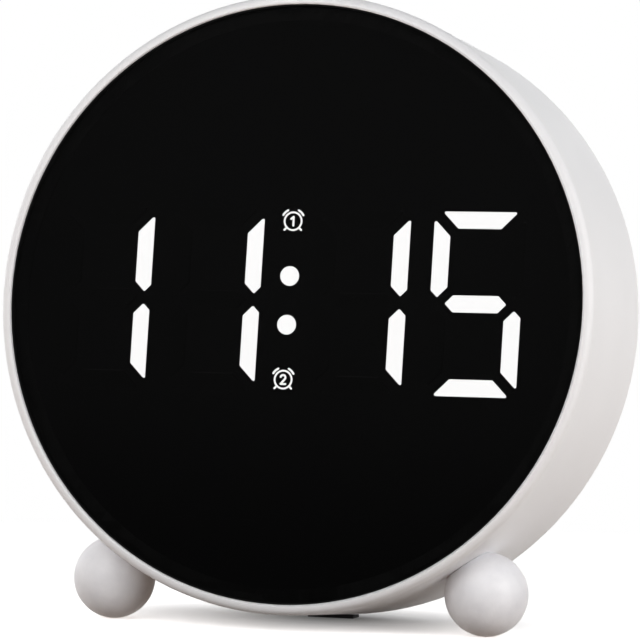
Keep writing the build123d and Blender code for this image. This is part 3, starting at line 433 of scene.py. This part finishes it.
def wireMesh(name, lines, radius, roundness=4, sameSpot=0.001 * mm):
    # round wire or pen lines through lists of points; a line whose ends meet is closed
    curve = bpy.data.curves.new(name, "CURVE")
    curve.dimensions = "3D"
    curve.bevel_depth, curve.bevel_resolution = radius, roundness
    curve.use_fill_caps = True
    for line in lines:
        closed = (Vector(line[0]) - Vector(line[-1])).length < sameSpot
        kept = line[:-1] if closed else line
        spline = curve.splines.new("POLY")
        spline.points.add(len(kept) - 1)
        for point, place in zip(spline.points, kept):
            point.co = (*place, 1)
        spline.use_cyclic_u = closed
    holder = bpy.data.objects.new(name, curve)
    mesh = bpy.data.meshes.new_from_object(holder)
    bpy.data.objects.remove(holder)
    return mesh


def turnedMesh(name, profile, sides=64):
    # a profile of (distance along z, radius, finish number) turned about z, closed where the radius is 0
    work = bmesh.new()
    turns = [2 * math.pi * i / sides for i in range(sides)]
    rings = []
    for along, radius, _ in profile:
        if radius == 0:
            rings.append([work.verts.new((0, 0, along * mm))])
        else:
            circle = [(radius * math.cos(turn) * mm, radius * math.sin(turn) * mm) for turn in turns]
            rings.append([work.verts.new((x, y, along * mm)) for x, y in circle])
    for first, second, (_, _, finishNumber) in zip(rings, rings[1:], profile):
        for i in range(sides):
            j = (i + 1) % sides
            corners = [first[i % len(first)], first[j % len(first)],
                       second[j % len(second)], second[i % len(second)]]
            corners = [corner for k, corner in enumerate(corners) if corner not in corners[:k]]
            work.faces.new(corners).material_index = finishNumber
    bmesh.ops.recalc_face_normals(work, faces=work.faces)
    return endMesh(name, work)


def arc(x, y, radius, start, end, steps=24):
    turns = [math.radians(start + (end - start) * i / steps) for i in range(steps + 1)]
    return [(x + radius * math.cos(turn), y + radius * math.sin(turn)) for turn in turns]


# signs printed on the six rear keys, x to the right as the back is read, angles in degrees
sign = {
    "line": 0.36,
    "raise": 0.3,
    "roundness": 2,
    "dial": 1.5,
    "bell": {"radius": 2.15, "from": 27, "to": 62},
    "foot": 2.1,
    "one": [(-0.35, 0.35), (0.08, 0.72), (0.08, -0.75)],
    "two": {"middle": (0, 0.28), "radius": 0.43, "from": 165, "to": -35, "steps": 12,
            "base": [(-0.45, -0.72), (0.5, -0.72)]},
    "clock": {"radius": 2.1, "hands": [(0, 1.3), (0, 0), (0.9, -0.55)]},
    "arrow": 1.7,
    "sun": {"radius": 0.9, "rays": 8, "ray": (1.4, 2.1)},
}


def alarmClock(number):
    diagonal = math.sqrt(0.5)
    near, far = sign["dial"] * diagonal, sign["foot"] * diagonal
    bell, two = sign["bell"], sign["two"]
    lines = [arc(0, 0, sign["dial"], 0, 360)]
    for side in (-1, 1):
        lines.append(arc(0, 0, bell["radius"], 90 - side * bell["to"], 90 - side * bell["from"]))
        lines.append([(side * near, -near), (side * far, -far)])
    if number == 1:
        lines.append(sign["one"])
    else:
        bow = arc(*two["middle"], two["radius"], two["from"], two["to"], two["steps"])
        lines.append(bow + two["base"])
    return lines


def plainClock():
    return [arc(0, 0, sign["clock"]["radius"], 0, 360), sign["clock"]["hands"]]


def chevron(way):
    reach = sign["arrow"]
    return [[(-reach, -way * reach / 2), (0, way * reach / 2), (reach, -way * reach / 2)]]


def sun():
    near, far = sign["sun"]["ray"]
    turns = [2 * math.pi * i / sign["sun"]["rays"] for i in range(sign["sun"]["rays"])]
    rays = [[(length * math.cos(turn), length * math.sin(turn)) for length in (near, far)] for turn in turns]
    return [arc(0, 0, sign["sun"]["radius"], 0, 360)] + rays


keySigns = {
    "time_set": plainClock(),
    "alarm_one": alarmClock(1),
    "alarm_two": alarmClock(2),
    "down": chevron(-1),
    "up": chevron(1),
    "light": sun(),
}
for key, lines in keySigns.items():
    drawn = [[(x * mm, y * mm, 0) for x, y in line] for line in lines]
    mesh = wireMesh(key + "_sign", drawn, sign["line"] / 2 * mm, sign["roundness"])
    keyTop = seatOn(key + "_button", backward)
    flattened = Matrix.Diagonal((1, 1, sign["raise"], 1))
    mesh.transform(axesAt(keyTop, -rightward, upward, backward) @ flattened)
    addPiece(key + "_sign", mesh, key + "_key", "button_grey", "printedSignInk")
print("key signs:", len(keySigns))


# battery bay: three cells in printed film, and the wound springs behind their flat ends
cell = {"count": 3, "length": 44.5, "radius": 5.25, "bandFrom": 31.0, "plusAt": 38, "minusAt": 5,
        "mark": 1.5, "markLine": 0.16, "markSteps": 8, "roundness": 2}
spring = {"plateRadius": 3.2, "cellRadius": 1.85, "wire": 0.8, "turns": 5.5, "steps": 30, "closing": 0.75}

# a cell from its flat end to its nub, which a washer surrounds
film, band, metal, washer = range(4)
skin, top = cell["radius"], cell["length"]
cellProfile = [
    (0.25, 0, metal), (0.25, 3.9, metal), (0.0, 4.15, metal),
    (0.0, 4.4, film), (0.12, 4.9, film), (0.42, 5.17, film), (0.8, skin, film),
    (cell["bandFrom"], skin, band), (top - 1.8, skin, band), (top - 1.4, 5.16, band),
    (top - 1.12, 4.88, band),
    (top - 1.0, 4.4, metal), (top - 1.2, 4.1, metal),
    (top - 1.2, 3.2, washer), (top - 1.08, 3.1, washer),
    (top - 1.08, 2.1, metal), (top - 1.2, 1.9, metal),
    (top - 0.3, 1.9, metal), (top - 0.08, 1.75, metal), (top, 1.4, metal), (top, 0, metal),
]


def arcOnCell(along, reach):
    turns = [reach / skin * (2 * i / cell["markSteps"] - 1) for i in range(cell["markSteps"] + 1)]
    return [(skin * math.cos(turn), skin * math.sin(turn), along) for turn in turns]


def springCoil(run):
    # a cone of wire whose end turns lie closer than the middle ones
    coil = []
    steps = int(spring["turns"] * spring["steps"])
    for step in range(steps + 1):
        share = step / steps
        angle = 2 * math.pi * step / spring["steps"]
        radius = (spring["plateRadius"] + (spring["cellRadius"] - spring["plateRadius"]) * share) * mm
        eased = share - spring["closing"] * math.sin(2 * math.pi * share) / (2 * math.pi)
        along = spring["wire"] / 2 * mm + (run - spring["wire"] * mm) * eased
        coil.append((radius * math.cos(angle), radius * math.sin(angle), along))
    return coil


bayEnd = span("backup_cells", rightward)[1]
cellLow, cellHigh = span("backup_cells", upward)
cellDepth = sum(span("backup_cells", backward)) / 2
cellPitch = (cellHigh - cellLow - 2 * skin * mm) / (cell["count"] - 1)
for i in range(cell["count"]):
    way = 1 if i % 2 == 0 else -1  # every second cell lies the other way round
    centre = backward * cellDepth + upward * (cellLow + skin * mm + cellPitch * i)
    along, outward = rightward * way, backward * way
    place = axesAt(centre + along * (bayEnd - cell["length"] * mm), upward, outward, along)
    mesh = turnedMesh("backup_cell_" + str(i + 1), cellProfile)
    mesh.transform(place)
    piece = addPiece("backup_cell_" + str(i + 1), mesh, "clock", "cell_label",
                     "cellFilm", "cellBand", "nickelShell", "cellWasher")
    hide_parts("backup_cells")

    # a plus near the raised end and a minus near the flat end, both on the side that faces the door
    plusAt, reach = cell["plusAt"], cell["mark"]
    marks = [
        [(skin, 0, plusAt - reach), (skin, 0, plusAt + reach)],
        arcOnCell(plusAt, reach),
        arcOnCell(cell["minusAt"], reach),
    ]
    drawn = [[Vector(point) * mm for point in line] for line in marks]
    mesh = wireMesh("cell_marks_" + str(i + 1), drawn, cell["markLine"] * mm, cell["roundness"])
    mesh.transform(place @ Matrix.Rotation(math.radians(90) * way, 4, "Z"))
    addPiece("cell_marks_" + str(i + 1), mesh, "clock", "cell_label", "cellMarkInk")

    coil = springCoil(2 * bayEnd - cell["length"] * mm)
    mesh = wireMesh("battery_spring_" + str(i + 1), [coil], spring["wire"] / 2 * mm)
    mesh.transform(axesAt(centre - along * bayEnd, upward, outward, along))
    piece = addPiece("battery_spring_" + str(i + 1), mesh, "clock", "contact_nickel", "drawnSpringWire")
    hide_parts("battery_springs")
print("cells and springs:", cell["count"])


# speaker cone seen through the grille: rolled rubber edge, ribbed paper, domed cap
cone = {
    "rim": 14.6, "drop": 0.7, "depth": 3.5, "neck": 4.4,
    "rollWidth": 2.4, "rollRise": 0.55, "rollSteps": 12,
    "ribs": 5, "ribRise": 0.09, "ribSteps": 40,
    "capRise": 1.1, "capSunk": 0.2, "capSteps": 8,
    "sheet": 0.35, "neckSheet": 0.5, "sides": 72,
}
paper, roll, cap = range(3)
rollStart = cone["rim"] - cone["rollWidth"]
capBase = -cone["depth"] - cone["capSunk"]
coneProfile = [(cone["capRise"] + capBase, 0, cap)]
for i in range(1, cone["capSteps"] + 1):
    share = i / cone["capSteps"]
    height = cone["capRise"] * (1 - share ** 2) + capBase
    coneProfile.append((height, cone["neck"] * share, cap if i < cone["capSteps"] else paper))
for i in range(cone["ribSteps"] + 1):
    share = i / cone["ribSteps"]
    wave = cone["ribRise"] * math.sin(2 * math.pi * cone["ribs"] * share)
    height = (cone["depth"] - cone["drop"]) * (share - 1) - cone["drop"] + wave
    radius = cone["neck"] + (rollStart - cone["neck"]) * share
    coneProfile.append((height, radius, paper if i < cone["ribSteps"] else roll))
for i in range(1, cone["rollSteps"] + 1):
    turn = math.pi * i / cone["rollSteps"]
    radius = rollStart + cone["rollWidth"] / 2 * (1 - math.cos(turn))
    coneProfile.append((cone["rollRise"] * math.sin(turn) - cone["drop"], radius, roll))
rimUnder = -cone["drop"] - cone["sheet"]
neckUnder = -cone["depth"] - cone["neckSheet"]
coneProfile += [(rimUnder, cone["rim"], paper), (rimUnder, rollStart, paper),
                (neckUnder, cone["neck"], paper), (neckUnder, 0, paper)]
mesh = turnedMesh("speaker_cone_detailed", coneProfile, cone["sides"])
mesh.transform(axesAt(seatOn("speaker_frame", backward), -rightward, upward, backward))
piece = addPiece("speaker_cone_detailed", mesh, "clock", "cone_paper",
                 "pressedPaper", "softRubberBlack", "pressedPaperCap")
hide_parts("speaker_cone")
print("speaker cone made")


# where the drum's curve is, for the trim that lies on it
drumBack = seatOn("housing", backward)
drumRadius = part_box("housing")[1][0]

# rubber pad under the rear edge: its top follows the drum, its sole is flat on the table
pad = {"length": 12.0, "width": 5.0, "inset": 0.8, "gap": 0.05, "across": 28, "along": 6,
       "round": 0.16, "roundSteps": 3, "roundFrom": 50}
work = bmesh.new()
padRows = []
for i in range(pad["across"] + 1):
    x = (i / pad["across"] - 0.5) * pad["length"] * mm
    drop = math.sqrt((drumRadius + pad["gap"] * mm) ** 2 - x * x)
    row = []
    for j in range(pad["along"] + 1):
        inward = (pad["inset"] + pad["width"] * (1 - j / pad["along"])) * mm
        crest = drumBack + rightward * x - backward * inward - upward * drop
        row.append((work.verts.new(crest), work.verts.new((crest.x, crest.y, 0))))
    padRows.append(row)
for first, second in zip(padRows, padRows[1:]):
    for j in range(pad["along"]):
        work.faces.new([first[j][0], second[j][0], second[j + 1][0], first[j + 1][0]])
        work.faces.new([first[j][1], first[j + 1][1], second[j + 1][1], second[j][1]])
    for j in (0, pad["along"]):
        work.faces.new([first[j][0], first[j][1], second[j][1], second[j][0]])
for row in (padRows[0], padRows[-1]):
    for j in range(pad["along"]):
        work.faces.new([row[j][0], row[j][1], row[j + 1][1], row[j + 1][0]])
bmesh.ops.recalc_face_normals(work, faces=work.faces)
rim = [edge for edge in work.edges if edge.calc_face_angle(0) > math.radians(pad["roundFrom"])]
bmesh.ops.bevel(work, geom=rim, offset=pad["round"] * mm, segments=pad["roundSteps"], profile=0.5,
                affect="EDGES")
piece = addPiece("rear_foot", endMesh("rear_foot", work), "clock", "pad_rubber", "softRubber")
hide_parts("rear_foot_pad")
print("rear pad made")


# three raised ribs on the snooze bar, to find it by touch
rib = {"halfLength": 7.5, "shorter": 1.5, "pitch": 2.4, "radius": 0.5, "sunk": 0.28, "steps": 16}
crown = seatOn("snooze_button", upward) - drumBack
crownRadius = crown.dot(upward)
crownBack = crown.dot(backward)
ribLines = []
for offset in (-1, 0, 1):
    reach = (rib["halfLength"] - abs(offset) * rib["shorter"]) * mm / crownRadius
    start = drumBack + backward * (crownBack + offset * rib["pitch"] * mm)
    out = crownRadius - rib["sunk"] * mm
    line = []
    for i in range(rib["steps"] + 1):
        turn = reach * (2 * i / rib["steps"] - 1)
        line.append(start + upward * out * math.cos(turn) + rightward * out * math.sin(turn))
    ribLines.append(line)
mesh = wireMesh("snooze_ribs", ribLines, rib["radius"] * mm)
addPiece("snooze_ribs", mesh, "snooze_bar", "snooze_white", "mouldedSatinAbs")
print("snooze ribs:", len(ribLines))


# gold contacts down both sides of the inlet's tongue
pin = {"count": 10, "pitch": 0.5, "width": 0.26, "length": 3.4, "thickness": 0.04, "setback": 0.4,
       "round": 0.015}
tongueEnd = seatOn("usb_tongue", backward)
tongueHalf = (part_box("usb_tongue")[1][0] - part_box("usb_tongue")[0][0]) / 2
size = Matrix.Diagonal((pin["thickness"] * mm, pin["width"] * mm, pin["length"] * mm, 1))
work = bmesh.new()
for side in (-1, 1):
    for i in range(pin["count"]):
        up = (i - (pin["count"] - 1) / 2) * pin["pitch"] * mm
        inward = (pin["length"] / 2 + pin["setback"]) * mm
        middle = tongueEnd + rightward * side * tongueHalf + upward * up - backward * inward
        bmesh.ops.create_cube(work, size=1, matrix=axesAt(middle, rightward, upward, backward) @ size)
bmesh.ops.bevel(work, geom=work.edges[:], offset=pin["round"] * mm, segments=1, affect="EDGES")
addPiece("tongue_contacts", endMesh("tongue_contacts", work), "clock", "socket_steel", "goldFlash")
print("inlet contacts:", 2 * pin["count"])


# Floor: a pale table that runs into a white room, in metres

floor = {
    "size": 12.0,
    "gain": 1.6,
    "lift": 0.5,
    "whiteFade": (0.08, 0.35),
    # painted shade under the clock's belly: its middle and reach in metres, and how dark it gets
    "shade": {"from": (0.0, 0.015), "reach": (0.061, 0.036), "darkest": 0.1},
    # painted bounce light that the table glows onto the object: its strength, and its colour by distance in
    # metres
    "bounceStrength": 1.5,
    "bounce": [(0.0, "#160B04"), (0.12, "#5C4022"), (0.35, "#FFF8F0"), (0.8, "#303030")],
}

floorMesh = bpy.data.meshes.new("tableTop")
half = floor["size"] / 2
floorCorners = [(-half, -half, 0), (half, -half, 0), (half, half, 0), (-half, half, 0)]
floorMesh.from_pydata(floorCorners, [], [(0, 1, 2, 3)])
floorObject = bpy.data.objects.new("tableTop", floorMesh)
bpy.context.scene.collection.objects.link(floorObject)


def seenDirectly(tree):
    # 1 for what the camera sees, straight, mirrored or through something clear
    ray = addNode(tree, "ShaderNodeLightPath").outputs
    mirrored = addNode(tree, "ShaderNodeMath", {"operation": "MAXIMUM"},
                       i0=ray["Is Camera Ray"], i1=ray["Is Glossy Ray"]).outputs[0]
    return addNode(tree, "ShaderNodeMath", {"operation": "MAXIMUM"},
                   i0=mirrored, i1=ray["Is Transmission Ray"]).outputs[0]


# table top painted white: near the clock it takes its real shadow and a painted shade, further off it is
# plain white
floorMaterial = bpy.data.materials.new("paleTable")
floorMaterial.use_nodes = True
floorTree = floorMaterial.node_tree
floorTree.nodes.clear()
floorPlace = addNode(floorTree, "ShaderNodeTexCoord").outputs["Object"]

# painted shade: the table is painted darker in the narrow space under the round belly, where the clock's
# shadow falls
shade = floor["shade"]
fromBelly = addNode(floorTree, "ShaderNodeVectorMath", {"operation": "SUBTRACT"},
                    i0=floorPlace, i1=(*shade["from"], 0)).outputs[0]
bellyShares = addNode(floorTree, "ShaderNodeVectorMath", {"operation": "DIVIDE"},
                      i0=fromBelly, i1=(*shade["reach"], 1)).outputs[0]
bellyShare = addNode(floorTree, "ShaderNodeVectorMath", {"operation": "LENGTH"},
                     i0=bellyShares).outputs["Value"]
paintedShade = addNode(floorTree, "ShaderNodeMapRange", Value=bellyShare, To_Min=shade["darkest"],
                   To_Max=1.0).outputs["Result"]
floorGain = addNode(floorTree, "ShaderNodeMath", {"operation": "MULTIPLY"},
                    i0=paintedShade, i1=floor["gain"]).outputs[0]
floorLift = addNode(floorTree, "ShaderNodeMath", {"operation": "MULTIPLY"},
                    i0=paintedShade, i1=floor["lift"]).outputs[0]
paleFloor = addNode(floorTree, "ShaderNodeBsdfDiffuse", Color=floorGain).outputs[0]
liftedFloor = addNode(floorTree, "ShaderNodeEmission", Color=linear("#FFFFFF"), Strength=floorLift).outputs[0]
nearFloor = addNode(floorTree, "ShaderNodeAddShader", i0=paleFloor, i1=liftedFloor).outputs[0]

# past the object's shadow the table runs into the white room
whiteStart, whiteEnd = floor["whiteFade"]
away = addNode(floorTree, "ShaderNodeVectorMath", {"operation": "LENGTH"}, i0=floorPlace).outputs["Value"]
whiteFade = addNode(floorTree, "ShaderNodeMapRange", Value=away, From_Min=whiteStart,
                    From_Max=whiteEnd).outputs["Result"]
farFloor = addNode(floorTree, "ShaderNodeEmission", Color=linear("#FFFFFF"), Strength=1.0).outputs[0]
seenFloor = addNode(floorTree, "ShaderNodeMixShader", Fac=whiteFade, i1=nearFloor, i2=farFloor).outputs[0]

# painted bounce light: apart from what the camera sees, the table glows onto the object as a lit table throws
# light back: warm and little close by, where the object's own shadow lies, and pale further off
bounceColours = addNode(floorTree, "ShaderNodeValToRGB", Fac=away)
stops = bounceColours.color_ramp.elements
for k, (place, colour) in enumerate(floor["bounce"]):
    stop = stops[k] if k < 2 else stops.new(place)
    stop.position, stop.color = place, linear(colour)
paintedBounceGlow = addNode(floorTree, "ShaderNodeEmission", Color=bounceColours.outputs["Color"],
                    Strength=floor["bounceStrength"]).outputs[0]
floorMix = addNode(floorTree, "ShaderNodeMixShader", Fac=seenDirectly(floorTree), i1=paintedBounceGlow,
                   i2=seenFloor).outputs[0]
addNode(floorTree, "ShaderNodeOutputMaterial", Surface=floorMix)
floorMesh.materials.append(floorMaterial)
print("floor laid")


# Room: white to look at, and a dim fill to light with, weaker overhead and stronger behind

room = {"seen": 1.0, "fill": "#FBFBFF", "walls": 0.14, "ceiling": 0.08, "rear": 0.2}
world = bpy.data.worlds.new("studioRoom")
bpy.context.scene.world = world
world.use_nodes = True
roomTree = world.node_tree
roomTree.nodes.clear()
whiteRoom = addNode(roomTree, "ShaderNodeBackground", Color=linear("#FFFFFF"),
                    Strength=room["seen"]).outputs[0]
roomPlace = addNode(roomTree, "ShaderNodeTexCoord").outputs["Generated"]
direction = addNode(roomTree, "ShaderNodeSeparateXYZ", Vector=roomPlace).outputs
overhead = addNode(roomTree, "ShaderNodeMapRange", Value=direction["Z"], To_Min=room["walls"],
                   To_Max=room["ceiling"]).outputs["Result"]
behind = addNode(roomTree, "ShaderNodeMapRange", Value=direction["Y"], To_Max=room["rear"]).outputs["Result"]
allFill = addNode(roomTree, "ShaderNodeMath", {"operation": "ADD"}, i0=overhead, i1=behind).outputs[0]
fillRoom = addNode(roomTree, "ShaderNodeBackground", Color=linear(room["fill"]), Strength=allFill).outputs[0]
roomMix = addNode(roomTree, "ShaderNodeMixShader", Fac=seenDirectly(roomTree), i1=fillRoom,
                  i2=whiteRoom).outputs[0]
addNode(roomTree, "ShaderNodeOutputWorld", Surface=roomMix)
print("room set")


# Lamps: softboxes in metres and watts, all turned to the middle of the face

aim = Vector((0, 0, 0.075))
lamps = {
    "softboxFront": {"from": (-0.2, -1.2, 0.58), "size": 0.9, "power": 8.3, "colour": "#FFFFFF"},
    "softboxRight": {"from": (1.15, -0.45, 0.2), "size": 0.7, "power": 9.0, "colour": "#FFFFFF"},
    "softboxRightRear": {"from": (1.2, 0.3, 0.12), "size": 0.7, "power": 2.6, "colour": "#FFFFFF"},
    "softboxLeft": {"from": (-1.1, -0.5, 0.35), "size": 0.8, "power": 2.2, "colour": "#FFFFFF"},
    "softboxLeftRear": {"from": (-1.1, 0.5, 0.3), "size": 0.8, "power": 3.2, "colour": "#FFFFFF"},
    "softboxRear": {"from": (-0.2, 1.15, 0.12), "size": 0.4, "power": 3.0, "colour": "#FFFFFF"},
}
for name, lamp in lamps.items():
    light = bpy.data.lights.new(name, "AREA")
    light.size, light.energy = lamp["size"], lamp["power"]
    light.color = linear(lamp["colour"])[:3]
    lightObject = bpy.data.objects.new(name, light)
    lightObject.location = lamp["from"]
    lightObject.rotation_euler = (aim - Vector(lamp["from"])).to_track_quat("-Z", "Y").to_euler()
    bpy.context.scene.collection.objects.link(lightObject)
print("lamps set:", len(lamps))
